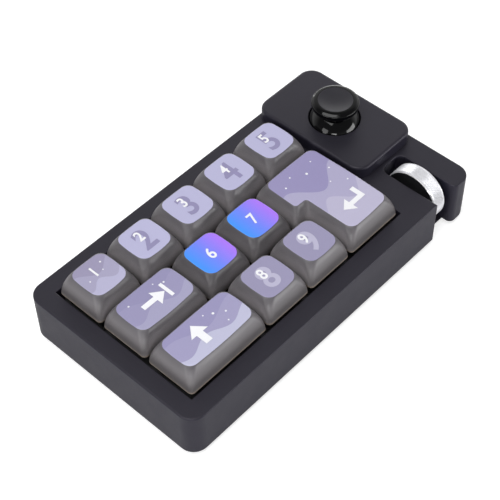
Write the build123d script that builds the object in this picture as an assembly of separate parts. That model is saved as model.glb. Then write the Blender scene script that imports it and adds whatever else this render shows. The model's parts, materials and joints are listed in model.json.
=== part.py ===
from build123d import *
import os
from math import acos, asin, cos, degrees, pi, radians, sin, tan

# A gaming keypad with twelve sprung keys, a thumbstick and a thumb wheel, in millimetres.
# The origin is on the desk under the middle of the case. +X runs along the keypad towards
# the thumbstick, +Y runs towards the back row of keys and +Z is up.

# Shared by all pieces
overrun = 1.0
part_gap = 0.4
seat_gap = 0.02
running_gap = 0.05

# Key field: left edge, row from the front and width of each plain key, counted in pitches
pitch = 19.05
field_columns = 5
field_rows = 3
key_names = ["1", "2", "3", "4", "5", "tab", "6", "7", "shift", "8", "9"]
key_shares = [
    (0, 2, 1), (1, 2, 1), (2, 2, 1), (3, 2, 1), (4, 2, 1),
    (0, 1, 1.5), (1.5, 1, 1), (2.5, 1, 1),
    (0, 0, 1.75), (1.75, 0, 1), (2.75, 0, 1),
]
enter_corner_shares = [(3.75, 0), (5, 0), (5, 2), (3.5, 2), (3.5, 1), (3.75, 1)]
enter_stem_share = (4.375, 1)

# Case
rim = 6.8
end_rim = 11.15
slot_width = 9.8
slot_depth = 23.3
slot_radius = 2.5
slot_floor = 0.5
slot_floor_setback = 4.1
arm_end_round = 2.0
arm_width = 9.3
case_height = 18.2
case_radius = 5.2
case_wall = 2.4
case_roof = 2.4
case_top_round = 0.5
case_bottom_bevel = 1.0
well_margin = 0.4
well_wall = 1.8
boss_radius = 2.6

# Bottom cover and its feet
cover_thickness = 2.4
cover_gap = 0.15
cover_post_radius = 2.0
cover_post_shares = [(0.2, 1), (2.6, 1), (1.25, 2), (3.75, 2)]
foot_radius = 5.0
foot_thickness = 1.6
foot_proud = 0.8
foot_side_inset = 12.0
foot_front_inset = 6.5

# Keycaps: the bowed side is given by shares of the height and of the taper
cap_side_shares = [(0, 0), (0.5, 0.23), (0.8, 0.63), (1, 1)]
cap_corner_sides = 4
cap_gap = 0.95
cap_sink = 0.3
cap_height = 8.2
cap_taper = 2.55
cap_base_radius = 1.4
cap_top_radius = 3.2
cap_notch_radius = 1.2
cap_dish = 0.35
cap_wall = 1.4
cap_roof = 1.6
cap_post_radius = 2.6

# Switches, measured from the top of the plate they clip into
key_travel = 4.0
board_rise = 2.9
board_thickness = 1.6
plate_thickness = 1.5
switch_body = 13.9
switch_flange = 15.6
switch_flange_thickness = 0.9
switch_seat = 5.0
switch_rise = 6.6
switch_crown = 11.0
switch_roof = 1.4
switch_wall = 1.2
switch_floor = 0.9
switch_peg_radius = 1.95
switch_peg_length = 2.8
switch_round_sides = 8
stem_width = 7.0
stem_depth = 5.4
stem_collar = 1.2
stem_collar_reach = 1.0
stem_roof = 2.0
stem_gap = 0.1
stem_bottom_gap = 0.6
cross_span = 4.0
cross_thickness = 1.25
cross_height = 3.6
spring_radius = 1.9
spring_gap = 0.2

# Stabiliser of the L-shaped key
stabiliser_arm = 8.8
stabiliser_bend = 1.6
wire_radius = 0.8
wire_rise = 1.9
wire_slot_gap = 0.25
guide_stem_width = 5.6
guide_stem_depth = 4.4
guide_depth = 7.476
guide_wall = 1.2
guide_rise = 5.0
guide_drop = 4.3
guide_lip = 0.8
guide_lip_height = 0.8
guide_hook_wall = 0.9
guide_hook_lip = 0.4

# Thumbstick cover
pod_gap = 1.75
pod_setback = 1.3
pod_height = 4.6
pod_wall = 2.0
pod_roof = 2.0
pod_round = 1.0
pod_post_radius = 2.6
pod_post_inset = 5.0

# Thumbstick, measured from its tilting point
stick_depth = 4.5
stick_tilt = 18
stick_press = 0.5
dome_radius = 9.6
dome_wall = 1.2
dome_gap = 0.3
dome_cover_angle = 3
neck_radius = 5.2
head_radius = 8.0
head_height = 8.1
head_dish_radius = 5.9
head_dish_depth = 0.9
head_shoulder = 1.1
head_side = 0.9
head_under = 1.6
head_round_sides = 3
dome_round_sides = 6
stick_radius = 1.8
stick_drop = 6.0
stick_socket_radius = 3.4
stick_socket_drop = 3.4
stick_bore_roof = 3.2
rocker_width = 6.0
rocker_depth = 7.4
rocker_height = 4.4
yoke_size = 11.2
yoke_opening = 8.0
yoke_height = 2.8
yoke_corner = 1.6
pin_radius = 0.9
ear_gap = 0.2
ear_thickness = 1.3
ear_width = 4.0
ear_rise = 1.8
base_size = 18.0
base_wall = 1.4
base_floor = 1.2
coil_radius = 3.4
coil_wall = 0.7

# Thumb wheel
wheel_near_gap = 2.475
wheel_far_gap = 1.725
wheel_bottom_gap = 0.75
wheel_back_gap = 1.0
axle_rise = 1.65
wheel_rim_wall = 1.5
wheel_edge = 0.35
hub_inset = 0.5
hub_boss_radius = 3.0
axle_radius = 1.5
bush_wall = 1.1
bush_length = 5.0
bush_flange = 0.8
bush_flange_length = 0.6
encoder_wall = 0.8
encoder_depth = 8.6
encoder_top_gap = 1.2

# Cable socket in the rear wall
socket_width = 8.9
socket_height = 3.2
socket_depth = 7.3
socket_radius = 1.5
socket_wall = 0.35
socket_inset = 0.6
socket_gap = 0.3
socket_back = 1.0
tongue_width = 6.6
tongue_thickness = 0.7
tongue_length = 4.6
socket_share = 0.5

# Places worked out from the sizes above
field_length = field_columns * pitch
field_depth = field_rows * pitch
case_length = rim + field_length + end_rim + slot_width + arm_width
case_depth = field_depth + 2 * rim
field_left = rim - case_length / 2
field_front = rim - case_depth / 2
field_right = field_left + field_length
slot_left = field_right + end_rim
slot_right = slot_left + slot_width
slot_back = slot_depth - case_depth / 2
case_bottom = foot_proud
case_top = case_bottom + case_height
roof_bottom = case_top - case_roof
cover_top = case_bottom + cover_thickness
board_bottom = cover_top + board_rise
board_top = board_bottom + board_thickness
plate_top = board_top + switch_seat
plate_bottom = plate_top - plate_thickness
cavity_left = case_wall - case_length / 2
cavity_front = case_wall - case_depth / 2

pod_left = field_right + pod_gap
pod_front = slot_back + pod_setback
pod_length = case_length / 2 - pod_left
pod_depth = case_depth / 2 - pod_front
pod_x = pod_left + pod_length / 2
pod_y = pod_front + pod_depth / 2
pod_top = case_top + pod_height
pod_post_places = [(pod_x, pod_front + pod_post_inset), (pod_x, case_depth / 2 - pod_post_inset)]
stick_z = pod_top - stick_depth
dome_edge = acos(stick_depth / (dome_radius + dome_gap)) + radians(stick_tilt + dome_cover_angle)
both_tilts = acos(cos(radians(stick_tilt)) ** 2)
skirt_low = stick_z + dome_radius * cos(dome_edge + both_tilts) - stick_press

# The axle lies a little above the middle of the case, and the wheel reaches down almost to its foot
wheel_z = case_bottom + case_height / 2 + axle_rise
wheel_radius = wheel_z - case_bottom - wheel_bottom_gap
wheel_width = slot_width - wheel_near_gap - wheel_far_gap
wheel_x = slot_left + wheel_near_gap + wheel_width / 2
wheel_y = slot_back - wheel_back_gap - wheel_radius
encoder_front = wheel_y - axle_radius - running_gap - encoder_wall
encoder_back = encoder_front + encoder_depth

# Screw bosses stand in the corners, and one stands behind the wheel's encoder
boss_places = [
    (cavity_left + boss_radius, cavity_front + boss_radius),
    (slot_left - case_wall - boss_radius, encoder_back + part_gap + boss_radius),
    (-cavity_left - boss_radius, slot_back + case_wall + boss_radius),
    (-cavity_left - boss_radius, -cavity_front - boss_radius),
    (cavity_left + boss_radius, -cavity_front - boss_radius),
]

housing_top = plate_top + switch_rise
cap_base = housing_top - cap_sink
cap_ceiling = cap_base + cap_height - cap_roof
switch_floor_top = board_top + switch_floor
cross_top = housing_top + cross_height
stem_bottom = switch_floor_top + key_travel + stem_bottom_gap
stem_bore_top = housing_top - stem_roof
socket_x = field_left + socket_share * field_length


def box_between(low, high):
    """A box given by its lowest and highest corners."""
    size = [b - a for a, b in zip(low, high)]
    centre = [(a + b) / 2 for a, b in zip(low, high)]
    return Pos(*centre) * Box(*size)


def column(x, y, radius, low, high):
    """An upright round column between two heights."""
    return Pos(x, y, (low + high) / 2) * Cylinder(radius, high - low)


def block(x, y, width, depth, low, high):
    """An upright block centred on a point, between two heights."""
    return Pos(x, y, (low + high) / 2) * Box(width, depth, high - low)


def eight_sided(x, y, radius, low, high):
    """An upright column with few sides, for round forms that every key repeats."""
    return Pos(x, y, low) * extrude(RegularPolygon(radius, switch_round_sides), high - low)


def rod_x(left, right, y, z, radius):
    """A round rod along X."""
    return Pos((left + right) / 2, y, z) * Rot(0, 90, 0) * Cylinder(radius, right - left)


def rod_y(front, back, x, z, radius):
    """A round rod along Y."""
    return Pos(x, (front + back) / 2, z) * Rot(90, 0, 0) * Cylinder(radius, back - front)


def field_point(share):
    """A point of the key field, counted in pitches from its front left corner."""
    return field_left + share[0] * pitch, field_front + share[1] * pitch


def key_corners(share):
    """The four corners of a plain key's place in the field."""
    left, row, width = share
    shares = [(left, row), (left + width, row), (left + width, row + 1), (left, row + 1)]
    return [field_point(corner) for corner in shares]


def middle(points):
    """The middle of a key's four corners."""
    return sum(p[0] for p in points) / len(points), sum(p[1] for p in points) / len(points)


key_places = {name: middle(key_corners(share)) for name, share in zip(key_names, key_shares)}
key_places["enter"] = field_point(enter_stem_share)
enter_x, enter_y = key_places["enter"]
stabiliser_reach = switch_flange / 2 + part_gap + guide_depth / 2
guide_places = [(enter_x, enter_y - stabiliser_reach), (enter_x, enter_y + stabiliser_reach)]


# Case


def case_outline(inset):
    """The case's plan moved inwards, without the slot, the arm and what is walled off round them."""
    radius = case_radius - inset
    plan = RectangleRounded(case_length - 2 * inset, case_depth - 2 * inset, radius)
    left = slot_left - inset
    back = slot_back + inset
    width = case_length - left
    depth = case_depth + back
    return plan - Pos(left + width / 2, back - depth / 2) * Rectangle(width, depth)


def cross_cut(x, y, gap, low, high):
    """The cross on a stem, or with a gap the socket for it."""
    span = cross_span + 2 * gap
    thickness = cross_thickness + 2 * gap
    return block(x, y, span, thickness, low, high) + block(x, y, thickness, span, low, high)


def upper_case():
    plan = RectangleRounded(case_length, case_depth, case_radius)
    slot_cut_depth = slot_depth + slot_radius
    slot = RectangleRounded(slot_width, slot_cut_depth, slot_radius)
    slot += Pos(0, -slot_depth / 2) * Rectangle(slot_width, slot_depth)
    plan -= Pos(slot_left + slot_width / 2, slot_back - slot_cut_depth / 2) * slot
    arm_corner = Vector(slot_right, -case_depth / 2)
    plan = fillet(min(plan.vertices(), key=lambda v: (Vector(v) - arm_corner).length), arm_end_round)
    body = Pos(0, 0, case_bottom) * extrude(plan, case_height)
    body = fillet(body.faces().sort_by(Axis.Z)[-1].outer_wire().edges(), case_top_round)
    body = chamfer(body.faces().sort_by(Axis.Z)[0].outer_wire().edges(), case_bottom_bevel)
    body -= Pos(0, 0, case_bottom) * extrude(case_outline(case_wall), case_height - case_roof)

    # A thin floor under the wheel ties the arm to the case
    tie = case_wall / 2
    floor_low = (slot_left - tie, slot_floor_setback - case_depth / 2, case_bottom)
    body += box_between(floor_low, (slot_right + tie, slot_back + tie, case_bottom + slot_floor))

    # The well's own wall hangs from the roof and holds the plate down
    well = (field_length + 2 * well_margin, field_depth + 2 * well_margin)
    well_centre = (field_left + field_length / 2, field_front + field_depth / 2)
    skirt = (well[0] + 2 * well_wall, well[1] + 2 * well_wall)
    body += block(*well_centre, *skirt, plate_top, roof_bottom)
    for place in boss_places:
        body += column(*place, boss_radius, cover_top, roof_bottom)
    body -= block(*well_centre, *well, board_top, case_top + overrun)

    # Room for the thumbstick
    body -= column(pod_x, pod_y, dome_radius + part_gap, roof_bottom - overrun, case_top + overrun)

    # The wheel's axle passes through the end wall and ends in the arm's bush
    hole_left = slot_left - case_wall - overrun
    body -= rod_x(hole_left, slot_left + overrun, wheel_y, wheel_z, axle_radius + part_gap)
    bush_radius = axle_radius + running_gap + bush_wall
    bush_end = slot_right + bush_length + seat_gap
    body -= rod_x(slot_right - overrun, bush_end, wheel_y, wheel_z, bush_radius + seat_gap)

    # The mouth for the cable socket
    mouth = (socket_width + 2 * socket_gap, socket_height + 2 * socket_gap)
    mouth_face = RectangleRounded(*mouth, socket_radius + socket_gap)
    mouth_place = Pos(socket_x, case_depth / 2 + overrun, board_top + socket_height / 2)
    body -= mouth_place * Rot(90, 0, 0) * extrude(mouth_face, case_wall + 2 * overrun)
    return body


def foot_places():
    left = cavity_left + foot_side_inset
    right = -left
    front = cavity_front + foot_front_inset
    front_right = slot_left - case_wall - foot_side_inset
    return [(left, front), (front_right, front), (left, -front), (right, -front)]


def bottom_cover():
    body = Pos(0, 0, case_bottom) * extrude(case_outline(case_wall + cover_gap), cover_thickness)
    for share in cover_post_shares:
        body += column(*field_point(share), cover_post_radius, case_bottom, board_bottom)
    for place in foot_places():
        body -= column(*place, foot_radius + seat_gap, case_bottom - overrun, foot_thickness)
    return body


def rubber_feet():
    return [column(*place, foot_radius, 0, foot_thickness) for place in foot_places()]


def joystick_cover():
    plan = RectangleRounded(pod_length, pod_depth, case_radius)
    body = Pos(pod_x, pod_y, case_top) * extrude(plan, pod_height)
    body = fillet(body.faces().sort_by(Axis.Z)[-1].edges(), pod_round)
    inner = (pod_length - 2 * pod_wall, pod_depth - 2 * pod_wall)
    hollow = RectangleRounded(*inner, case_radius - pod_wall)
    body -= Pos(pod_x, pod_y, case_top) * extrude(hollow, pod_height - pod_roof)
    for place in pod_post_places:
        body += column(*place, pod_post_radius, case_top, pod_top - pod_roof)
    return body - Pos(pod_x, pod_y, stick_z) * Sphere(dome_radius + dome_gap)


# Keys


def cap_ring(corners, inset, radii, height):
    """A level outline with its sides moved in and its corners rounded in short flats."""
    ring = []
    befores = corners[-1:] + corners[:-1]
    afters = corners[1:] + corners[:1]
    for before, corner, after, radius in zip(befores, corners, afters, radii):
        along = (Vector(*corner) - Vector(*before)).normalized()
        onward = (Vector(*after) - Vector(*corner)).normalized()
        inward = Vector(-along.Y, along.X)
        turn = 1 if along.cross(onward).Z > 0 else -1
        place = Vector(*corner, height) + (inward + Vector(-onward.Y, onward.X)) * inset
        spoke = inward * (turn * radius)
        for step in range(cap_corner_sides + 1):
            angle = turn * 90 * step / cap_corner_sides
            ring.append(place - along * radius + spoke - spoke.rotate(Axis.Z, angle))
    return ring


def skin(rings):
    """A solid with flat faces between level rings of points."""
    faces = [Face(Wire.make_polygon(rings[0])), Face(Wire.make_polygon(rings[-1]))]
    for lower, upper in zip(rings, rings[1:]):
        for i in range(len(lower)):
            faces.append(Face(Wire.make_polygon([lower[i - 1], lower[i], upper[i], upper[i - 1]])))
    return Solid(Shell(faces))


def keycap(corners, post_places, notch_corners=0):
    """A keycap with bowed sides, a shallow dish on top, and posts with cross-shaped sockets."""
    plain_corners = len(corners) - notch_corners
    notch_radii = [cap_notch_radius] * notch_corners
    rings = []
    for height_share, taper_share in cap_side_shares:
        inset = cap_gap / 2 + taper_share * cap_taper
        radius = cap_base_radius + taper_share * (cap_top_radius - cap_base_radius)
        height = cap_base + height_share * cap_height
        rings.append(cap_ring(corners, inset, [radius] * plain_corners + notch_radii, height))
    body = skin(rings)

    top = body.faces().sort_by(Axis.Z)[-1].bounding_box()
    dish_radius = ((top.size.X / 2) ** 2 + cap_dish ** 2) / (2 * cap_dish)
    dish_z = top.max.Z - cap_dish + dish_radius
    body -= rod_y(top.min.Y - overrun, top.max.Y + overrun, top.center().X, dish_z, dish_radius)

    inside = cap_gap / 2 + cap_wall
    inside_radii = [cap_notch_radius] * len(corners)
    low = cap_ring(corners, inside, inside_radii, cap_base)
    body -= skin([low, cap_ring(corners, inside + cap_taper, inside_radii, cap_ceiling)])
    for place in post_places:
        body += eight_sided(*place, cap_post_radius, housing_top, cap_ceiling)
        body -= cross_cut(*place, seat_gap, housing_top, cross_top + part_gap)
    return body


def keycaps():
    caps = {}
    for name, share in zip(key_names, key_shares):
        caps[name] = keycap(key_corners(share), [key_places[name]])
    corners = [field_point(share) for share in enter_corner_shares]
    notch_corners = len(enter_corner_shares) - len(key_corners(key_shares[0]))
    caps["enter"] = keycap(corners, [key_places["enter"]] + guide_places, notch_corners)
    return caps


def stem(x, y):
    """A switch stem: cross, sliding block with a collar under the housing's roof, spring bore."""
    collar_top = housing_top - switch_roof - stem_gap
    collar = (stem_width + 2 * stem_collar_reach, stem_depth + 2 * stem_collar_reach)
    body = block(x, y, stem_width, stem_depth, stem_bottom, housing_top)
    body += block(x, y, *collar, collar_top - stem_collar, collar_top)
    body += cross_cut(x, y, 0, housing_top, cross_top)
    bore = 2 * (spring_radius + spring_gap)
    return body - block(x, y, bore, bore, stem_bottom - overrun, stem_bore_top)


def spring(x, y):
    """A switch's return spring, as the room that its coils fill."""
    return eight_sided(x, y, spring_radius, switch_floor_top, stem_bore_top)


def lower_housing(x, y):
    """The half of a switch that clips into the plate and stands on the board."""
    flange_top = plate_top + switch_flange_thickness
    body = block(x, y, switch_body, switch_body, board_top, flange_top)
    body += block(x, y, switch_flange, switch_flange, plate_top, flange_top)
    body += eight_sided(x, y, switch_peg_radius, board_top - switch_peg_length, board_top)
    inside = switch_body - 2 * switch_wall
    return body - block(x, y, inside, inside, switch_floor_top, flange_top + overrun)


def square_ring(x, y, width, height):
    """The corners of a level square centred on a point."""
    half = width / 2
    turns = [(-half, -half), (half, -half), (half, half), (-half, half)]
    return [Vector(x + across, y + along, height) for across, along in turns]


def upper_housing(x, y):
    """The tapered top half of a switch, with the opening that the stem slides in."""
    low = plate_top + switch_flange_thickness
    ceiling = housing_top - switch_roof
    inside_low = switch_body - 2 * switch_wall
    inside_high = switch_crown - switch_wall
    body = skin([square_ring(x, y, switch_body, low), square_ring(x, y, switch_crown, housing_top)])
    hollow = skin([square_ring(x, y, inside_low, low), square_ring(x, y, inside_high, ceiling)])
    mouth = (stem_width + 2 * stem_gap, stem_depth + 2 * stem_gap)
    return body - hollow - block(x, y, *mouth, ceiling - overrun, housing_top + overrun)


def boss_notches(low, high):
    """Square notches that let a plate or board pass the case's bosses."""
    width = 2 * (boss_radius + part_gap)
    return [block(*place, width, width, low - overrun, high + overrun) for place in boss_places]


def switch_plate():
    margin = rim - case_wall - part_gap
    size = (field_length + 2 * margin, field_depth + 2 * margin)
    centre = (field_left + field_length / 2, field_front + field_depth / 2)
    body = block(*centre, *size, plate_bottom, plate_top)
    hole = switch_body + 2 * seat_gap
    for place in key_places.values():
        body -= block(*place, hole, hole, plate_bottom - overrun, plate_top + overrun)
    guide_hole = [side + 2 * seat_gap for side in guide_size()]
    for place in guide_places:
        body -= block(*place, *guide_hole, plate_bottom - overrun, plate_top + overrun)
    return body - boss_notches(plate_bottom, plate_top)


def circuit_board():
    body = Pos(0, 0, board_bottom) * extrude(case_outline(case_wall + part_gap), board_thickness)
    for place in key_places.values():
        hole = switch_peg_radius + seat_gap
        body -= eight_sided(*place, hole, board_bottom - overrun, board_top + overrun)
    return body - boss_notches(board_bottom, board_top)


# Stabiliser


def guide_size():
    """The outside of a stabiliser housing in plan."""
    return guide_stem_width + 2 * stem_gap + 2 * guide_wall, guide_depth


wire_swing = degrees(asin(key_travel / 2 / stabiliser_arm))
wire_z = plate_top + wire_rise
wire_x = enter_x + stabiliser_arm
arm_z = wire_z + key_travel / 2


def stabiliser_wire():
    """A bent wire that pivots on its long run and lifts both guide stems alike."""
    tip = stabiliser_arm - stem_gap
    points = [
        (-tip, -stabiliser_reach),
        (0, -stabiliser_reach),
        (0, stabiliser_reach),
        (-tip, stabiliser_reach),
    ]
    path = FilletPolyline(*points, radius=stabiliser_bend)
    start = Plane(path @ 0, z_dir=path % 0)
    wire = sweep(start * Circle(wire_radius), path=path)
    return Pos(wire_x, enter_y, wire_z) * Rot(0, wire_swing, 0) * wire


def guide_stem(x, y):
    """A guide stem with a cross on top and a slot that the wire's arm swings in."""
    body = block(x, y, guide_stem_width, guide_stem_depth, plate_top, housing_top)
    body += cross_cut(x, y, 0, housing_top, cross_top)
    depth = guide_stem_width / 2 + overrun
    swing_room = guide_stem_width / 2 * tan(radians(wire_swing))
    half = wire_radius / cos(radians(wire_swing)) + swing_room + wire_slot_gap
    width = 2 * (wire_radius + wire_slot_gap)
    slot_x = x - 2 * stem_gap - wire_slot_gap
    low = (slot_x, y - width / 2, arm_z - half)
    return body - box_between(low, (x + depth, y + width / 2, arm_z + half))


def stabiliser_housing(x, y):
    """A guide's housing: a walled shaft through the plate, and a hook that the wire turns in."""
    width, depth = guide_size()
    low = plate_top - guide_drop
    high = plate_top + guide_rise
    body = block(x, y, width, depth, low, high)
    body += block(x, y, width + 2 * guide_lip, depth, plate_top, plate_top + guide_lip_height)

    # The hook's cheek stands beside the arm and is open towards +X
    hook_radius = wire_radius + running_gap
    inward = 1 if y < enter_y else -1
    cheek_start = y + inward * (stabiliser_bend + wire_radius)
    cheek_end = enter_y - inward * (switch_flange / 2 + part_gap)
    front, back = min(cheek_start, cheek_end), max(cheek_start, cheek_end)
    hook_low = (x + width / 2 - guide_wall, front, plate_top)
    hook_high = (wire_x + guide_hook_lip, back, wire_z + hook_radius + guide_hook_wall)
    tie_low = (hook_low[0], min(y, front), plate_top)
    tie_high = (x + width / 2 + guide_lip, max(y, back), plate_top + guide_lip_height)
    body += box_between(hook_low, hook_high) + box_between(tie_low, tie_high)
    body -= rod_y(front - overrun, back + overrun, wire_x, wire_z, hook_radius)
    mouth_low = (wire_x, front - overrun, wire_z - hook_radius)
    mouth_high = (wire_x + hook_radius + overrun, back + overrun, wire_z + hook_radius)
    body -= box_between(mouth_low, mouth_high)

    # The shaft for the stem, and the window that the arm swings in
    shaft = (guide_stem_width + 2 * stem_gap, guide_stem_depth + 2 * stem_gap)
    body -= block(x, y, *shaft, low - overrun, high + overrun)
    post_low = housing_top - key_travel - part_gap
    body -= column(x, y, cap_post_radius + stem_gap, post_low, high + overrun)
    arm_half = wire_radius + wire_slot_gap
    window_low = (x, y - arm_half, arm_z - key_travel - 2 * wire_radius)
    window_high = (x + width, y + arm_half, high + overrun)
    return body - box_between(window_low, window_high)


# Thumbstick


def joystick_cap():
    """The thumbstick's head, neck and round skirt, turned in one piece."""
    dome_inner = dome_radius - dome_wall
    head_top = stick_depth + head_height
    bore = stick_radius + seat_gap
    bore_top = head_top - stick_bore_roof
    neck_angle = asin(neck_radius / dome_radius)
    socket_angle = asin(stick_socket_radius / dome_inner)
    socket_z = dome_inner * cos(socket_angle)
    shoulder_z = head_top - head_shoulder
    side_z = shoulder_z - head_side
    under_z = side_z - head_under
    inner_mid = (dome_edge + socket_angle) / 2

    # The skirt is part of a ball round the tilting point
    skirt = []
    for step in range(dome_round_sides + 1):
        angle = dome_edge + (neck_angle - dome_edge) * step / dome_round_sides
        skirt.append((dome_radius * sin(angle), dome_radius * cos(angle)))

    # The head's underside and shoulder are quarter rounds, and its top is a shallow bowl
    head = []
    turns = [step / head_round_sides * pi / 2 for step in range(head_round_sides + 1)]
    for turn in turns:
        reach = (head_radius - neck_radius) * sin(turn)
        head.append((neck_radius + reach, side_z - head_under * cos(turn)))
    for turn in turns:
        reach = (head_radius - head_dish_radius) * cos(turn)
        head.append((head_dish_radius + reach, shoulder_z + head_shoulder * sin(turn)))
    for step in range(1, head_round_sides + 1):
        share = 1 - step / head_round_sides
        head.append((head_dish_radius * share, head_top - head_dish_depth * (1 - share ** 2)))
    inside = [
        (0, bore_top),
        (bore, bore_top),
        (bore, socket_z - stick_socket_drop),
        (stick_socket_radius, socket_z - stick_socket_drop),
        (stick_socket_radius, socket_z),
        (dome_inner * sin(inner_mid), dome_inner * cos(inner_mid)),
        (dome_inner * sin(dome_edge), dome_inner * cos(dome_edge)),
    ]
    outline = Polyline(*skirt, *head, *inside, close=True)
    body = revolve(Plane.XZ * make_face(outline), Axis.Z)
    return Pos(pod_x, pod_y, stick_z) * body


def joystick_shaft():
    high = stick_z + stick_depth + head_height - stick_bore_roof
    return column(pod_x, pod_y, stick_radius, stick_z - stick_drop, high)


def joystick_rocker():
    """The inner gimbal block. It tilts about Y and the shaft slides through it."""
    half = rocker_height / 2
    body = block(pod_x, pod_y, rocker_width, rocker_depth, stick_z - half, stick_z + half)
    reach = yoke_size / 2
    body += rod_y(pod_y - reach, pod_y + reach, pod_x, stick_z, pin_radius)
    bore = stick_radius + running_gap
    return body - column(pod_x, pod_y, bore, stick_z - half - overrun, stick_z + half + overrun)


def joystick_yoke():
    """The outer gimbal ring. It tilts about X on two pins and carries the rocker's pins."""
    half = yoke_height / 2
    plan = RectangleRounded(yoke_size, yoke_size, yoke_corner)
    plan -= Rectangle(yoke_opening, yoke_opening)
    body = Pos(pod_x, pod_y, stick_z - half) * extrude(plan, yoke_height)
    bore = pin_radius + running_gap
    body -= rod_y(pod_y - yoke_size, pod_y + yoke_size, pod_x, stick_z, bore)
    inner = yoke_opening / 2
    outer = yoke_size / 2 + ear_gap + ear_thickness
    body += rod_x(pod_x + inner, pod_x + outer, pod_y, stick_z, pin_radius)
    return body + rod_x(pod_x - outer, pod_x - inner, pod_y, stick_z, pin_radius)


def joystick_base():
    """The open box under the gimbal, with two ears for the yoke's pins."""
    low = board_top
    high = skirt_low - part_gap
    body = block(pod_x, pod_y, base_size, base_size, low, high)
    inner = base_size - 2 * base_wall
    body -= block(pod_x, pod_y, inner, inner, low + base_floor, high + overrun)
    for side in (-1, 1):
        x = pod_x + side * (yoke_size / 2 + ear_gap + ear_thickness / 2)
        body += block(x, pod_y, ear_thickness, ear_width, low, stick_z + ear_rise)
    reach = yoke_size
    return body - rod_x(pod_x - reach, pod_x + reach, pod_y, stick_z, pin_radius + running_gap)


def joystick_spring():
    """The centring spring under the rocker, as the sleeve that its coils fill."""
    low = board_top + base_floor
    high = stick_z - rocker_height / 2 - part_gap
    outer = column(pod_x, pod_y, coil_radius, low, high)
    return outer - column(pod_x, pod_y, coil_radius - coil_wall, low, high)


# Wheel


def wheel_rim():
    left = wheel_x - wheel_width / 2
    right = wheel_x + wheel_width / 2
    body = rod_x(left, right, wheel_y, wheel_z, wheel_radius)
    body = chamfer(body.edges(), wheel_edge)
    inner = wheel_radius - wheel_rim_wall
    return body - rod_x(left - overrun, right + overrun, wheel_y, wheel_z, inner)


def wheel_hub():
    half = wheel_width / 2 - hub_inset
    boss_half = wheel_width / 2 + wheel_far_gap - bush_flange_length - part_gap
    radius = wheel_radius - wheel_rim_wall - seat_gap
    body = rod_x(wheel_x - half, wheel_x + half, wheel_y, wheel_z, radius)
    body += rod_x(wheel_x - boss_half, wheel_x + boss_half, wheel_y, wheel_z, hub_boss_radius)
    bore = axle_radius + seat_gap
    return body - rod_x(slot_left, slot_right, wheel_y, wheel_z, bore)


def encoder_left():
    return field_right + rim - case_wall


def wheel_axle():
    left = encoder_left() + part_gap
    return rod_x(left, slot_right + bush_length, wheel_y, wheel_z, axle_radius)


def axle_bush():
    radius = axle_radius + running_gap + bush_wall
    body = rod_x(slot_right, slot_right + bush_length, wheel_y, wheel_z, radius)
    flange_left = slot_right - bush_flange_length
    body += rod_x(flange_left, slot_right, wheel_y, wheel_z, radius + bush_flange)
    bore = axle_radius + running_gap
    return body - rod_x(flange_left - overrun, slot_right + bush_length + overrun, wheel_y, wheel_z, bore)


def wheel_encoder():
    """The turn sensor on the board, against the inside of the end wall."""
    left = encoder_left()
    right = slot_left - case_wall
    high = (right, encoder_back, roof_bottom - encoder_top_gap)
    body = box_between((left, encoder_front, board_top), high)
    bore = axle_radius + running_gap
    return body - rod_x(left - overrun, right + overrun, wheel_y, wheel_z, bore)


# Cable socket


def usb_socket():
    """The socket's metal shell with its tongue, lying on the board behind the rear wall."""
    front = case_depth / 2 - socket_inset
    z = board_top + socket_height / 2
    turn = Rot(90, 0, 0)
    shell = extrude(RectangleRounded(socket_width, socket_height, socket_radius), socket_depth)
    inner = (socket_width - 2 * socket_wall, socket_height - 2 * socket_wall)
    hollow = extrude(RectangleRounded(*inner, socket_radius - socket_wall), socket_depth - socket_back)
    tongue_start = socket_depth - socket_back - tongue_length
    tongue = extrude(Rectangle(tongue_width, tongue_thickness), tongue_length + socket_back)
    body = shell - hollow + Pos(0, 0, tongue_start) * tongue
    return Pos(socket_x, front, z) * turn * body


def group(solids):
    """Separate solids that share one name."""
    return Compound(children=solids)


def write(name, shape):
    export_step(shape, os.path.join("parts", name + ".step"))


os.makedirs("parts", exist_ok=True)

write("upper_case", upper_case())
write("bottom_cover", bottom_cover())
write("rubber_feet", group(rubber_feet()))
write("joystick_cover", joystick_cover())
write("switch_plate", switch_plate())
write("circuit_board", circuit_board())
write("switch_lower_housings", group([lower_housing(*place) for place in key_places.values()]))
write("switch_upper_housings", group([upper_housing(*place) for place in key_places.values()]))
write("stabiliser_housings", group([stabiliser_housing(*place) for place in guide_places]))
write("stabiliser_stems", group([guide_stem(*place) for place in guide_places]))
write("stabiliser_wire", stabiliser_wire())
for name, cap in keycaps().items():
    write("keycap_" + name, cap)
for name, place in key_places.items():
    write("stem_" + name, stem(*place))
    write("spring_" + name, spring(*place))
write("joystick_base", joystick_base())
write("joystick_spring", joystick_spring())
write("joystick_yoke", joystick_yoke())
write("joystick_rocker", joystick_rocker())
write("joystick_shaft", joystick_shaft())
write("joystick_cap", joystick_cap())
write("wheel_rim", wheel_rim())
write("wheel_hub", wheel_hub())
write("wheel_axle", wheel_axle())
write("axle_bush", axle_bush())
write("wheel_encoder", wheel_encoder())
write("usb_socket", usb_socket())
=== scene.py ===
import json
from math import asin, cos, pi, radians, sin

import bmesh
import bpy
from mathutils import Matrix, Vector


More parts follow.
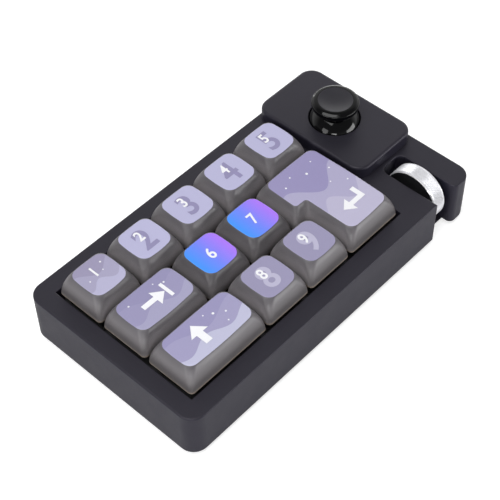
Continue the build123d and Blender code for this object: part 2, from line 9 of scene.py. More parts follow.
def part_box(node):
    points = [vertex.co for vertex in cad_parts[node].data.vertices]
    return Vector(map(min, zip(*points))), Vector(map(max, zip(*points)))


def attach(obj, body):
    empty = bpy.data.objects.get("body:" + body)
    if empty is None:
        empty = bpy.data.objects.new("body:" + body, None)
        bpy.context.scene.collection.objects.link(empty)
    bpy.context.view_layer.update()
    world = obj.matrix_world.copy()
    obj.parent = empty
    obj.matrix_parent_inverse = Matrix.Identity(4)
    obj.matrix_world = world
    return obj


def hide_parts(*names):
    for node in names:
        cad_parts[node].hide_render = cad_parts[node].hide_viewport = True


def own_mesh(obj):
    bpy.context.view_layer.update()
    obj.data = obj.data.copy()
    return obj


# A gaming keypad with smoky keycaps, a glossy thumbstick and a knurled thumb wheel.
# All places are in metres in the frame of the solids: +X towards the thumbstick, +Z up.

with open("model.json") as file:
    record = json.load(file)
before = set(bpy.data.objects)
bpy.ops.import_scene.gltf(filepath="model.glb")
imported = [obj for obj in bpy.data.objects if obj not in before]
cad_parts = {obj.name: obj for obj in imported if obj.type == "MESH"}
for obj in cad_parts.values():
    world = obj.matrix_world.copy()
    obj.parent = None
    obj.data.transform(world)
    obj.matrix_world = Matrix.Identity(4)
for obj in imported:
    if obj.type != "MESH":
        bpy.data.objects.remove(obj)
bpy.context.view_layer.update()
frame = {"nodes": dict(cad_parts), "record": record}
nodes = frame["nodes"]
mm = 0.001

# Camera, as found from the corners of the keycaps in the photograph
image_size = 500
focal_pixels = 1317.9
sensor_width = 36.0
camera_azimuth = radians(-46.834)
camera_elevation = radians(49.87)
camera_roll = radians(-0.781)
camera_target = Vector((-7.431, -3.524, 19.0)) * mm
camera_distance = 412.15 * mm

# Lamps, each with its place, its width and height, and its power
lamp_aim = (0, 0, 0.02)
lamps = {
    "key": ((-0.22, 0.02, 0.75), (0.55, 0.55), 3.45),
    "left": ((-0.75, 0.0, 0.22), (0.35, 0.35), 1.4),
    "right": ((0.35, -0.7, 0.12), (0.6, 0.2), 2.65),
    "back": ((0.55, 0.52, 0.13), (0.7, 0.1), 1.1),
    "front": ((-0.60, -0.52, 0.20), (0.30, 0.12), 1.2),
}

# Surroundings
world_light = 0.46
ceiling_mirrored = 0.2
mirrored_wall_band = (-0.45, 0.3)
mirrored_front_lean = -0.1
diagonal_share = 0.7
floor_half = 3.0
floor_cells = 8
floor_tone = (0.6, 0.6, 0.6)
floor_roughness = 0.8
floor_glow = 0.64
floor_mirror_glow = 0.12

# Noise, grain and clouds in the materials
grain_detail = 3.0
cloud_detail = 2.0
noise_roughness = 0.55
cloud_band = (0.35, 0.65)
noise_band = (0.3, 0.7)
patch_grains = 40
metal_grain_depth = 0.004 * mm
plastic_grain = 0.15 * mm
plastic_grain_depth = 0.01 * mm
plastic_cloud = 4 * mm
plastic_dark_share = 0.9

# Case plastic, with painted light by facing: tops painted lighter, sides painted darker with a painted
# violet sheen
case_mean_tone = (0.022, 0.0205, 0.030)
case_side_painted_sheen_tone = (0.0162, 0.0150, 0.0250)
case_top_painted_light_tone = (0.0185, 0.0174, 0.0245)
case_sheen = (0.92, 0.88, 1.0)
case_specular = 0.36
case_plain_roughness = 0.42
case_painted_light_band = (0.3, 0.8)
case_roughness = (0.40, 0.44)
case_cloud = 6 * mm
case_dark_share = 0.96
case_grain = 0.12 * mm
case_grain_depth = 0.010 * mm
case_soft_edge = 0.45 * mm
case_edge_samples = 6

# Smoky keycap plastic: tones by share of the height, which hold a painted highlight at the lower edge and
# painted shade up the sides, and painted light factors by how open a place is, lighter in the narrow gaps
smoke_mean_tone = (0.13, 0.12, 0.125)
dark_smoke_share = 0.78
smoke_painted_light_tones = (
    (0.05, (0.43, 0.36, 0.30)),
    (0.10, (0.244, 0.226, 0.230)),
    (0.20, (0.210, 0.195, 0.203)),
    (0.45, (0.290, 0.270, 0.282)),
    (0.70, (0.306, 0.287, 0.306)),
    (0.85, (0.250, 0.235, 0.254)),
    (1.0, (0.205, 0.195, 0.215)),
)
painted_gap_light_shares = ((0.0, 1.0), (0.4, 0.88), (0.6, 0.58), (0.78, 0.41), (1.0, 0.5))
painted_gap_light_reach = 7 * mm
painted_gap_light_samples = 8
smoke_scatter_share = 0.25
smoke_depth = 0.8 * mm
smoke_depth_tint = (1.0, 0.95, 1.0)
smoke_plain_roughness = 0.38
smoke_roughness = (0.32, 0.40)
smoke_cloud = 5 * mm
smoke_dark_share = 0.95
smoke_grain = 0.10 * mm
smoke_grain_depth = 0.006 * mm

# Keycap shapes
number_keys = "123456789"
key_names = (*number_keys, "tab", "shift", "enter")
key_pitch = 19.05 * mm
cap_taper = 2.55 * mm
cap_side_power = 2.1
cap_base_radius = 1.4 * mm
cap_top_radius = 2.7 * mm
cap_notch_radius = 1.2 * mm
cap_bow = 0.28 * mm
cap_edge_round = 0.5 * mm
cap_wall = 1.2 * mm
cap_dish = 0.35 * mm
cap_dish_reach = 2.2 * mm
cap_side_share = 0.95
cap_print_share = 0.985
cap_side_steps = 14
cap_edge_steps = 4
cap_corner_steps = 8
cap_straight_steps = 5
cap_top_strips = 16

# Prints on the keys
print_roughness = (0.42, 0.50)
print_plain_roughness = 0.45
print_speckle = 0.25 * mm
print_dark_share = 0.95
print_grain = 0.10 * mm
print_grain_depth = 0.004 * mm
pale_keys = "2345"
pale_tone = (0.455, 0.445, 0.645)
dusk_keys = "89"
dusk_tone = (0.30, 0.28, 0.43)
ghost_dark_tone = (0.27, 0.248, 0.42)
ghost_light_tone = (0.47, 0.45, 0.60)
white_tone = (0.86, 0.86, 0.89)
gradient_keys = "67"
gradient_mean_tone = (0.2, 0.25, 0.9)
gradient_tones = (
    (0.05, (0.045, 0.28, 0.93)),
    (0.45, (0.15, 0.23, 0.91)),
    (0.95, (0.38, 0.175, 0.88)),
)
hill_tones = {
    "1": ((0.305, 0.28, 0.42), (0.36, 0.34, 0.49), (0.44, 0.425, 0.60)),
    "tab": ((0.275, 0.257, 0.43), (0.30, 0.28, 0.455), (0.35, 0.335, 0.50)),
    "shift": ((0.295, 0.275, 0.465), (0.335, 0.315, 0.50), (0.49, 0.49, 0.65)),
    "enter": ((0.29, 0.262, 0.465), (0.40, 0.375, 0.55), (0.475, 0.45, 0.605)),
}
# Each hill line has a height and a swell in shares of the key, a number of waves and a start in radians
hill_lines = ((0.62, 0.10, 1.3, 0.4), (0.36, 0.08, 1.9, 2.6))
decal_lift = 0.025 * mm
digit_share = 0.7
figure_height = 4.0 * mm
gradient_figure_height = 4.3 * mm
figure_boldness = 0.12 * mm
figure_width_share = 0.85
figure_shift = Vector((-0.45, 1.9, 0)) * mm
ghost_height = 8.3 * mm
ghost_boldness = 0.25 * mm
ghost_width_share = 0.95
dot_sides = 16

# Outlines of the signs, in shares of their size
arrow_shares = (
    (-0.5, -0.09), (0.02, -0.09), (0.02, -0.3), (0.4, 0.0),
    (0.02, 0.3), (0.02, 0.09), (-0.5, 0.09),
)
bar_shares = ((0.42, -0.3), (0.54, -0.3), (0.54, 0.3), (0.42, 0.3))
up_shares = (
    (-0.16, -0.5), (0.16, -0.5), (0.16, 0.0), (0.42, 0.0),
    (0.0, 0.5), (-0.42, 0.0), (-0.16, 0.0),
)
return_shares = (
    (-0.5, 0.0), (-0.12, -0.3), (-0.12, -0.09), (0.5, -0.09), (0.5, 0.45),
    (0.32, 0.45), (0.32, 0.09), (-0.12, 0.09), (-0.12, 0.3),
)
# Each sign has its outlines, its size, and its place from the middle of its key in millimetres
signs = {
    "tab": ((arrow_shares, bar_shares), 10 * mm, (0, 0)),
    "shift": ((up_shares,), 8 * mm, (-2.6, 0.4)),
    "enter": ((return_shares,), 9.5 * mm, (2.6, -9.2)),
}
# Each spot has its place from the middle of its key and its radius, in millimetres
spots = {
    "tab": ((6.2, 2.6, 0.32), (-7.4, 3.6, 0.3), (3.4, 4.4, 0.22)),
    "shift": ((5.2, 2.6, 0.42), (8.4, 0.4, 0.3), (6.6, -2.4, 0.26), (2.6, 4.2, 0.24)),
    "enter": (
        (-7.5, 10.2, 0.34), (-3.2, 12.4, 0.28), (1.8, 9.6, 0.44), (6.6, 12.2, 0.26),
        (8.6, 6.0, 0.32), (4.4, 1.8, 0.24), (8.8, -1.6, 0.28),
    ),
    "1": ((3.6, 3.4, 0.3), (2.2, 0.6, 0.22), (-3.8, -0.2, 0.26)),
}

# Thumbstick, with heights from its tilting point
stick_pivot = Vector((51.9, 12.3, 19.1)) * mm
skirt_radius = 9.6 * mm
skirt_wall = 1.2 * mm
skirt_edge = radians(83.9)
neck_radius = 5.2 * mm
neck_top = 10.6 * mm
neck_flare = 1.6 * mm
head_radius = 8.0 * mm
head_edge_height = 11.5 * mm
head_edge_width = 0.9 * mm
head_edge_rise = 0.6 * mm
head_edge_end = pi / 6
crown_start = pi / 4
head_top = 12.6 * mm
dish_radius = 5.9 * mm
dish_depth = 0.9 * mm
skirt_inner_steps = 14
skirt_outer_steps = 24
neck_steps = 12
head_edge_steps = 6
crown_steps = 8
dish_steps = 10
stick_steps = 96
gloss_tone = (0.001, 0.001, 0.0014)
gloss_specular = 0.32
gloss_plain_roughness = 0.08
gloss_roughness = (0.06, 0.10)
gloss_cloud = 3 * mm
dish_tone = (0.022, 0.021, 0.027)
dish_roughness = (0.46, 0.54)
dish_grain = 0.15 * mm

# Wheel
knurl_count = 88
knurl_rows = 16
knurl_depth = 0.22 * mm
knurl_crest_shares = (1.0, 0.5, 0.0, 0.5)
wheel_edge = 0.35 * mm
wheel_lip = 0.25 * mm
rim_wall = 1.5 * mm
chrome_tone = (0.81, 0.81, 0.84)
chrome_roughness = (0.28, 0.36)
chrome_grain = 0.2 * mm
chrome_metallic = 0.45
flank_tone = (0.012, 0.012, 0.014)
flank_roughness = (0.35, 0.42)

# Springs
switch_coil_turns = 7
switch_coil_wire = 0.15 * mm
stick_coil_turns = 4
stick_coil_wire = 0.3 * mm
coil_steps = 20
coil_end_wires = 2.5
wire_sides = 6
eight_sided_share = cos(pi / 8)
spring_tone = (0.6, 0.6, 0.61)
spring_roughness = (0.28, 0.38)
small_metal_grain = 0.1 * mm

# Screws under the cover
screw_radius = 1.9 * mm
screw_face_share = 0.86
screw_height = 0.55 * mm
screw_recess_floor = 0.1 * mm
screw_cross_arm = 1.1 * mm
screw_cross_half = 0.3 * mm
screw_steps = 32
screw_tone = (0.05, 0.05, 0.055)
screw_roughness = (0.35, 0.45)
screw_places = (
    (-61.15, -30.375), (42.05, -13.825), (61.15, -7.075), (61.15, 30.375), (-61.15, 30.375),
)

# Finishes of the solids that show as they are: a colour and a range of roughness
plastics = {
    "switch_black": ((0.03, 0.03, 0.03), 0.45, 0.55),
    "stem_white": ((0.6, 0.58, 0.66), 0.4, 0.5),
    "plate_black": ((0.035, 0.035, 0.037), 0.5, 0.6),
    "board_black": ((0.02, 0.035, 0.025), 0.35, 0.45),
    "gimbal_grey": ((0.06, 0.06, 0.065), 0.45, 0.55),
    "hub_black": ((0.018, 0.018, 0.02), 0.32, 0.40),
    "foot_rubber": ((0.025, 0.025, 0.025), 0.7, 0.8),
}
metals = {
    "steel": ((0.6, 0.6, 0.61), 0.25, 0.35),
    "bush_brass": ((0.68, 0.5, 0.22), 0.25, 0.35),
}
solid_metal_grain = 0.15 * mm


# Materials


def make_material(name, colour, roughness, **settings):
    """A principled material with its plain values set on the shader itself."""
    material = bpy.data.materials.new(name)
    material.use_nodes = True
    shader = material.node_tree.nodes["Principled BSDF"]
    shader.inputs["Base Color"].default_value = (*colour, 1)
    shader.inputs["Roughness"].default_value = roughness
    for socket, value in settings.items():
        title = socket.replace("_", " ").title().replace("Ior", "IOR")
        shader.inputs[title].default_value = value
    return material


def shader_input(material, name):
    """One input socket of a material's shader."""
    return material.node_tree.nodes["Principled BSDF"].inputs[name]


def add_node(material, kind, **settings):
    """A new node with some of its settings."""
    node = material.node_tree.nodes.new(kind)
    for name, value in settings.items():
        setattr(node, name, value)
    return node


def link(material, source, target):
    """Joins an output socket to an input socket."""
    material.node_tree.links.new(source, target)


def object_point(material):
    """Where a point lies on its own piece, in metres."""
    return add_node(material, "ShaderNodeTexCoord").outputs["Object"]


def parts_of(material, vector):
    """The three coordinates of a vector socket, by name."""
    node = add_node(material, "ShaderNodeSeparateXYZ")
    link(material, vector, node.inputs["Vector"])
    return node.outputs


def noise(material, size, detail=grain_detail):
    """Noise with features of about one size."""
    node = add_node(material, "ShaderNodeTexNoise")
    node.inputs["Scale"].default_value = 1 / size
    node.inputs["Detail"].default_value = detail
    node.inputs["Roughness"].default_value = noise_roughness
    link(material, object_point(material), node.inputs["Vector"])
    return node.outputs["Fac"]


def ramp(material, factor, stops):
    """Colours along a factor, given as (place, colour) stops."""
    node = add_node(material, "ShaderNodeValToRGB")
    band = node.color_ramp
    while len(band.elements) < len(stops):
        band.elements.new(0.5)
    for element, (place, colour) in zip(band.elements, stops):
        element.position = place
        element.color = (*colour, 1)
    link(material, factor, node.inputs["Fac"])
    return node.outputs["Color"]


def spread(material, factor, old_range, new_range):
    """A factor carried from one range to another and kept inside it."""
    node = add_node(material, "ShaderNodeMapRange")
    for name, value in zip(("From Min", "From Max", "To Min", "To Max"), (*old_range, *new_range)):
        node.inputs[name].default_value = value
    link(material, factor, node.inputs["Value"])
    return node.outputs["Result"]


def mix(material, factor, first, second, blend="MIX"):
    """Two colours mixed. A colour may be a socket or three numbers."""
    node = add_node(material, "ShaderNodeMix", data_type="RGBA", blend_type=blend)
    sockets = [s for s in node.inputs if s.type == "RGBA"]
    for socket, value in zip(sockets, (first, second)):
        if isinstance(value, tuple):
            socket.default_value = (*value, 1)
        else:
            link(material, value, socket)
    if isinstance(factor, float):
        node.inputs["Factor"].default_value = factor
    else:
        link(material, factor, node.inputs["Factor"])
    return next(s for s in node.outputs if s.type == "RGBA")


def calc(material, operation, first, second=0.0):
    """One step of arithmetic on sockets or numbers."""
    node = add_node(material, "ShaderNodeMath", operation=operation)
    for socket, value in zip(node.inputs, (first, second)):
        if isinstance(value, (int, float)):
            socket.default_value = value
        else:
            link(material, value, socket)
    return node.outputs["Value"]


def axis_of(material, axis):
    """One coordinate of a point on its own piece."""
    return parts_of(material, object_point(material))[axis]


def add_grain(material, size, depth, roughness):
    """Fine moulded grain: a bump, and a roughness that varies a little in larger patches."""
    bump = add_node(material, "ShaderNodeBump")
    bump.inputs["Strength"].default_value = 1.0
    bump.inputs["Distance"].default_value = depth
    link(material, noise(material, size), bump.inputs["Height"])
    link(material, bump.outputs["Normal"], shader_input(material, "Normal"))
    patches = noise(material, patch_grains * size, cloud_detail)
    link(material, spread(material, patches, noise_band, roughness), shader_input(material, "Roughness"))
    return bump


def add_clouds(material, colour, size, darkest, band):
    """Lays a colour on the shader with a cloudy shade over it."""
    stops = [(place, (tone,) * 3) for place, tone in zip(band, (darkest, 1.0))]
    cloud = ramp(material, noise(material, size, cloud_detail), stops)
    link(material, mix(material, 1.0, colour, cloud, "MULTIPLY"), shader_input(material, "Base Color"))


def case_plastic():
    """Near-black moulding with a fine matte grain and softened edges, and painted light by facing: lighter
    tops, darker sides with a painted violet sheen.
    """
    material = make_material(
        "case_plastic", case_mean_tone, case_plain_roughness, specular_ior_level=case_specular,
    )
    shader_input(material, "Specular Tint").default_value = (*case_sheen, 1)
    normal = add_node(material, "ShaderNodeNewGeometry").outputs["Normal"]
    upright = calc(material, "ABSOLUTE", parts_of(material, normal)["Z"])
    painted_light_level = spread(material, upright, case_painted_light_band, (0.0, 1.0))
    # Painted light by facing: a lighter tone on the tops and a darker, more violet painted sheen on the
    # sides
    tone = mix(material, painted_light_level, case_side_painted_sheen_tone, case_top_painted_light_tone)
    add_clouds(material, tone, case_cloud, case_dark_share, cloud_band)
    bump = add_grain(material, case_grain, case_grain_depth, case_roughness)
    soft_edge = add_node(material, "ShaderNodeBevel", samples=case_edge_samples)
    soft_edge.inputs["Radius"].default_value = case_soft_edge
    link(material, soft_edge.outputs["Normal"], bump.inputs["Normal"])
    return material


def keycap_smoke(name, density):
    """Smoky plastic that lets some light through, with painted light on top: its narrow gaps painted
    lighter, a painted highlight on its thin lower edge, and painted shade by height up its sides.
    """
    material = make_material(
        name, smoke_mean_tone, smoke_plain_roughness,
        subsurface_weight=smoke_scatter_share, subsurface_scale=smoke_depth,
    )
    shader_input(material, "Subsurface Radius").default_value = smoke_depth_tint
    low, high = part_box("keycap_1")
    height = spread(material, axis_of(material, "Z"), (low.z, high.z), (0.0, 1.0))
    # Painted light: places hidden in the narrow gaps get a lighter tone than open ones
    openness = add_node(material, "ShaderNodeAmbientOcclusion", samples=painted_gap_light_samples)
    openness.inputs["Distance"].default_value = painted_gap_light_reach
    stops = [(place, (density * share,) * 3) for place, share in painted_gap_light_shares]
    glow = ramp(material, openness.outputs["AO"], stops)
    # Painted light by height: a pale painted highlight at the lower edge, then lighter and darker painted
    # bands up the sides
    tone = mix(material, 1.0, ramp(material, height, smoke_painted_light_tones), glow, "MULTIPLY")
    add_clouds(material, tone, smoke_cloud, smoke_dark_share, noise_band)
    add_grain(material, smoke_grain, smoke_grain_depth, smoke_roughness)
    return material


def print_finish(material, colour):
    """Fine print grain over a base colour."""
    add_clouds(material, colour, print_speckle, print_dark_share, noise_band)
    add_grain(material, print_grain, print_grain_depth, print_roughness)
    return material


def plain_print(name, colour):
    """A print of one colour."""
    return print_finish(make_material(name, colour, print_plain_roughness), colour)


def gradient_print(name, left, right):
    """Blue at one side of a key and violet at the other."""
    material = make_material(name, gradient_mean_tone, print_plain_roughness)
    place = spread(material, axis_of(material, "X"), (left, right), (0.0, 1.0))
    return print_finish(material, ramp(material, place, gradient_tones))


def hill_print(name, box, sky, hill, near_hill):
    """A print of two rolling hill lines across a key, in tones of one colour."""
    low, high = box
    material = make_material(name, sky, print_plain_roughness)
    x = spread(material, axis_of(material, "X"), (low.x, high.x), (0.0, 1.0))
    y = spread(material, axis_of(material, "Y"), (low.y, high.y), (0.0, 1.0))
    colour = sky
    for tone, (height, swell, waves, start) in zip((hill, near_hill), hill_lines):
        angle = calc(material, "ADD", calc(material, "MULTIPLY", x, waves * 2 * pi), start)
        wave = calc(material, "MULTIPLY", calc(material, "SINE", angle), swell)
        ridge = calc(material, "ADD", wave, height)
        colour = mix(material, calc(material, "LESS_THAN", y, ridge), colour, tone)
    return print_finish(material, colour)


def gloss_black():
    """Polished plastic with a matte dish on top, told apart by the distance from the stick's axis."""
    material = make_material(
        "gloss_black", gloss_tone, gloss_plain_roughness, specular_ior_level=gloss_specular,
    )
    across = calc(material, "SUBTRACT", axis_of(material, "X"), stick_pivot.x)
    along = calc(material, "SUBTRACT", axis_of(material, "Y"), stick_pivot.y)
    squares = [calc(material, "MULTIPLY", offset, offset) for offset in (across, along)]
    distance = calc(material, "SQRT", calc(material, "ADD", *squares))
    in_dish = calc(material, "LESS_THAN", distance, dish_radius)
    dish_low = stick_pivot.z + head_top - 2 * dish_depth
    on_top = calc(material, "GREATER_THAN", axis_of(material, "Z"), dish_low)
    matte = calc(material, "MULTIPLY", in_dish, on_top)
    grain = spread(material, noise(material, dish_grain), noise_band, dish_roughness)
    polish = spread(material, noise(material, gloss_cloud), noise_band, gloss_roughness)
    difference = calc(material, "MULTIPLY", calc(material, "SUBTRACT", grain, polish), matte)
    link(material, calc(material, "ADD", polish, difference), shader_input(material, "Roughness"))
    link(material, mix(material, matte, gloss_tone, dish_tone), shader_input(material, "Base Color"))
    return material


def metal(name, colour, roughness, grain, metallic=1.0):
    """Metal with a fine grain."""
    material = make_material(name, colour, roughness[0], metallic=metallic)
    add_grain(material, grain, metal_grain_depth, roughness)
    return material


def plastic(name, colour, roughness):
    """Moulded plastic with a cloudy tone and a fine grain."""
    material = make_material(name, colour, roughness[0])
    darker = tuple(plastic_dark_share * c for c in colour)
    cloud = noise(material, plastic_cloud, cloud_detail)
    tone = ramp(material, cloud, list(zip(cloud_band, (darker, colour))))
    link(material, tone, shader_input(material, "Base Color"))
    add_grain(material, plastic_grain, plastic_grain_depth, roughness)
    return material


# Meshes


def new_object(name, content):
    """An object in the scene that holds a mesh, a curve, a lamp or a camera."""
    piece = bpy.data.objects.new(name, content)
    bpy.context.scene.collection.objects.link(piece)
    return piece


def from_bmesh(name, shape, smooth=True):
    """An object made of a finished shape."""
    mesh = bpy.data.meshes.new(name)
    shape.to_mesh(mesh)
    shape.free()
    mesh.polygons.foreach_set("use_smooth", [smooth] * len(mesh.polygons))
    return new_object(name, mesh)


def band_of_faces(shape, first, second):
    """Faces between two closed rings with the same number of points."""
    faces = []
    for i in range(len(first)):
        j = (i + 1) % len(first)
        faces.append(shape.faces.new((first[i], first[j], second[j], second[i])))
    return faces


def rounded_outline(corners, inset, radii):
    """A level outline with its sides moved in and its corners rounded, as a list of (x, y)."""
    arcs = []
    count = len(corners)
    for i, corner in enumerate(corners):
        before = (Vector(corner) - Vector(corners[i - 1])).normalized()
        after = (Vector(corners[(i + 1) % count]) - Vector(corner)).normalized()
        inward = Vector((-before.y, before.x))
        place = Vector(corner) + inset * (inward + Vector((-after.y, after.x)))
        turn = 1 if before.x * after.y - before.y * after.x > 0 else -1
        centre = place - radii[i] * before + turn * radii[i] * inward
        spoke = -turn * radii[i] * inward
        angles = [turn * pi / 2 * step / cap_corner_steps for step in range(cap_corner_steps + 1)]
        arcs.append([centre + Matrix.Rotation(angle, 2) @ spoke for angle in angles])
    points = []
    for this, following in zip(arcs, arcs[1:] + arcs[:1]):
        points += this
        shares = [i / cap_straight_steps for i in range(1, cap_straight_steps)]
        points += [this[-1].lerp(following[0], share) for share in shares]
    return points


def bow_out(points, amount):
    """Bows the sides of a level outline outward, and leaves its corners in place."""
    low = Vector((min(p.x for p in points), min(p.y for p in points)))
    high = Vector((max(p.x for p in points), max(p.y for p in points)))
    middle, half = (low + high) / 2, (high - low) / 2
    for p in points:
        u, v = (p.x - middle.x) / half.x, (p.y - middle.y) / half.y
        p += amount * Vector((u ** 3 * (1 - v * v) ** 2, v ** 3 * (1 - u * u) ** 2))
    return points


def cap_profile():
    """Steps up a keycap's side as (share of the height, inset), and over its rounded top edge."""
    steps = [cap_side_share * i / cap_side_steps for i in range(cap_side_steps + 1)]
    profile = [(t, cap_taper * t ** cap_side_power) for t in steps]
    start = Vector(profile[-1])
    corner = Vector((1, cap_taper))
    end = Vector((1, cap_taper + cap_edge_round))
    for i in range(1, cap_edge_steps + 1):
        t = i / cap_edge_steps
        profile.append(tuple((1 - t) ** 2 * start + 2 * t * (1 - t) * corner + t ** 2 * end))
    return profile


def dish_drop(x, low, high):
    """How far a keycap's dished top lies under its highest edge."""
    half = (high.x - low.x) / 2 - cap_taper
    share = (x - (low.x + high.x) / 2) / half
    return cap_dish * max(0.0, 1 - share * share)


def settle_on_dish(vertices, low, high):
    """Lowers the top of a keycap into its dish, fading out down the sides."""
    for vertex in vertices:
        share = min(1.0, max(0.0, 1 - (high.z - vertex.co.z) / cap_dish_reach))
        vertex.co.z -= dish_drop(vertex.co.x, low, high) * share * share * (3 - 2 * share)


def cut_in_strips(shape, faces, low, high):
    """Cuts level faces into strips across X, so that they can follow the dish."""
    for i in range(1, cap_top_strips):
        x = low.x + (high.x - low.x) * i / cap_top_strips
        edges = list({e for f in faces for e in f.edges})
        vertices = list({v for f in faces for v in f.verts})
        geometry = faces + edges + vertices
        cut = bmesh.ops.bisect_plane(shape, geom=geometry, plane_co=(x, 0, 0), plane_no=(1, 0, 0))
        faces = [g for g in cut["geom"] if isinstance(g, bmesh.types.BMFace)]
    return faces


def cap_corners(name):
    """The corners of a key's foot, and the kind of each: one for plain, zero for the notch."""
    low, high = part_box("keycap_" + name)
    if name != "enter":
        return [(low.x, low.y), (high.x, low.y), (high.x, high.y), (low.x, high.y)], (1, 1, 1, 1)
    step_x = low.x + key_pitch / 4
    step_y = (low.y + high.y) / 2
    corners = [
        (step_x, low.y), (high.x, low.y), (high.x, high.y),
        (low.x, high.y), (low.x, step_y), (step_x, step_y),
    ]
    return corners, (1, 1, 1, 1, 0, 0)


def keycap(name, side_material, top_material):
    """A keycap as one shell with bowed sides, a rounded top edge and a printed, dished top."""
    low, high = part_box("keycap_" + name)
    corners, plain = cap_corners(name)
    shape = bmesh.new()
    rings = []
    for share, inset in cap_profile():
        plain_radius = cap_base_radius + share * (cap_top_radius - cap_base_radius)
        radii = [plain_radius if p else cap_notch_radius for p in plain]
        z = low.z + share * (high.z - low.z)
        outline = bow_out(rounded_outline(corners, inset, radii), cap_bow * share)
        rings.append([shape.verts.new((p.x, p.y, z)) for p in outline])
    for lower, upper in zip(rings, rings[1:]):
        band_of_faces(shape, lower, upper)
    cut_in_strips(shape, [shape.faces.new(rings[-1])], low, high)
    print_low = low.z + cap_print_share * (high.z - low.z)
    for face in shape.faces:
        if min(v.co.z for v in face.verts) > print_low:
            face.material_index = 1
    settle_on_dish(shape.verts, low, high)
    piece = from_bmesh("cap_" + name, shape)
    piece.data.materials.append(side_material)
    piece.data.materials.append(top_material)
    piece.modifiers.new("even_normals", "WEIGHTED_NORMAL").keep_sharp = True
    piece.modifiers.new("wall", "SOLIDIFY").thickness = cap_wall
    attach(piece, "key_" + name)
    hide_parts("keycap_" + name)


def lay_on_cap(piece_name, flat, name, lift, material):
    """Bends a flat figure onto the dished top of a key and lets it ride there."""
    low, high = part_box("keycap_" + name)
    cut_in_strips(flat, list(flat.faces), low, high)
    for vertex in flat.verts:
        vertex.co.z = high.z - dish_drop(vertex.co.x, low, high) + lift
    piece = from_bmesh(piece_name, flat)
    piece.data.materials.append(material)
    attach(piece, "key_" + name)


def figure(text, height, boldness, width_share, centre):
    """A number as a flat mesh, centred on a point."""
    curve = bpy.data.curves.new("figure", "FONT")
    curve.body = text
    curve.size = height / digit_share
    curve.offset = boldness
    curve.fill_mode = "FRONT"
    carrier = new_object("figure", curve)
    bpy.context.view_layer.update()
    evaluated = carrier.evaluated_get(bpy.context.evaluated_depsgraph_get())
    mesh = bpy.data.meshes.new_from_object(evaluated)
    bpy.data.objects.remove(carrier)
    flat = bmesh.new()
    flat.from_mesh(mesh)
    bpy.data.meshes.remove(mesh)
    xs = [v.co.x for v in flat.verts]
    ys = [v.co.y for v in flat.verts]
    middle = Vector(((min(xs) + max(xs)) / 2, (min(ys) + max(ys)) / 2))
    for vertex in flat.verts:
        vertex.co.x = centre.x + width_share * (vertex.co.x - middle.x)
        vertex.co.y = centre.y + vertex.co.y - middle.y
    return flat


def sign(outlines, size, centre):
    """A flat sign made of outlines in shares of its size, centred on a point."""
    flat = bmesh.new()
    for outline in outlines:
        places = [(centre.x + size * x, centre.y + size * y, 0) for x, y in outline]
        flat.faces.new([flat.verts.new(place) for place in places])
    return flat


def dots(places, centre):
    """Small round spots given as (x, y, radius) from a point, in millimetres."""
    flat = bmesh.new()
    for x, y, radius in places:
        middle = Matrix.Translation((centre.x + x * mm, centre.y + y * mm, 0))
        bmesh.ops.create_circle(flat, cap_ends=True, segments=dot_sides, radius=radius * mm, matrix=middle)
    return flat


def lathe(name, profile, centre, steps, material):
    """A closed (radius, height) profile turned round an upright axis. A radius of zero gives a pole."""
    shape = bmesh.new()
    rings = []
    for radius, z in profile:
        angles = [2 * pi * i / steps for i in range(steps if radius else 1)]
        places = [centre + Vector((radius * cos(a), radius * sin(a), z)) for a in angles]
        rings.append([shape.verts.new(place) for place in places])
    for lower, upper in zip(rings, rings[1:]):
        for i in range(steps):
            j = (i + 1) % steps
            corners = [ring[k % len(ring)] for ring, k in ((lower, i), (lower, j), (upper, j), (upper, i))]
            corners = list(dict.fromkeys(corners))
            if len(corners) > 2:
                shape.faces.new(corners)
    bmesh.ops.recalc_face_normals(shape, faces=shape.faces)
    piece = from_bmesh(name, shape)
    piece.data.materials.append(material)
    return piece


# Pieces


def cap_middle(name):
    """The middle of a keycap's box."""
    low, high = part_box("keycap_" + name)
    return (low + high) / 2


def dress_caps():
    """The twelve keycaps with their prints."""
    smoke = keycap_smoke("keycap_smoke", 1.0)
    dark_smoke = keycap_smoke("keycap_dark_smoke", dark_smoke_share)
    pale = plain_print("print_pale", pale_tone)
    dusk = plain_print("print_dusk", dusk_tone)
    for name in pale_keys:
        keycap(name, smoke, pale)
    for name in dusk_keys:
        keycap(name, smoke, dusk)
    for name in gradient_keys:
        low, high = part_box("keycap_" + name)
        blend = gradient_print("print_gradient_" + name, low.x + cap_taper, high.x - cap_taper)
        keycap(name, dark_smoke, blend)
    for name, tones in hill_tones.items():
        keycap(name, smoke, hill_print("print_hills_" + name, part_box("keycap_" + name), *tones))


def print_keys():
    """Numbers, signs and small spots on the tops of the keys."""
    white = plain_print("print_white", white_tone)
    ghost_dark = plain_print("print_ghost_dark", ghost_dark_tone)
    ghost_light = plain_print("print_ghost_light", ghost_light_tone)
    for name in number_keys:
        place = cap_middle(name)
        height = gradient_figure_height
        if name in pale_keys + dusk_keys:
            ghost = figure(name, ghost_height, ghost_boldness, ghost_width_share, place)
            ghost_print = ghost_light if name in dusk_keys else ghost_dark
            lay_on_cap("ghost_" + name, ghost, name, decal_lift, ghost_print)
        if name not in gradient_keys:
            place = place + figure_shift
            height = figure_height
        number = figure(name, height, figure_boldness, figure_width_share, place)
        lay_on_cap("figure_" + name, number, name, 2 * decal_lift, white)
    for name, places in spots.items():
        middle = cap_middle(name)
        if name in signs:
            outlines, size, shift = signs[name]
            flat = sign(outlines, size, middle + Vector((*shift, 0)) * mm)
            lay_on_cap("sign_" + name, flat, name, 2 * decal_lift, white)
        lay_on_cap("dots_" + name, dots(places, middle), name, decal_lift, white)


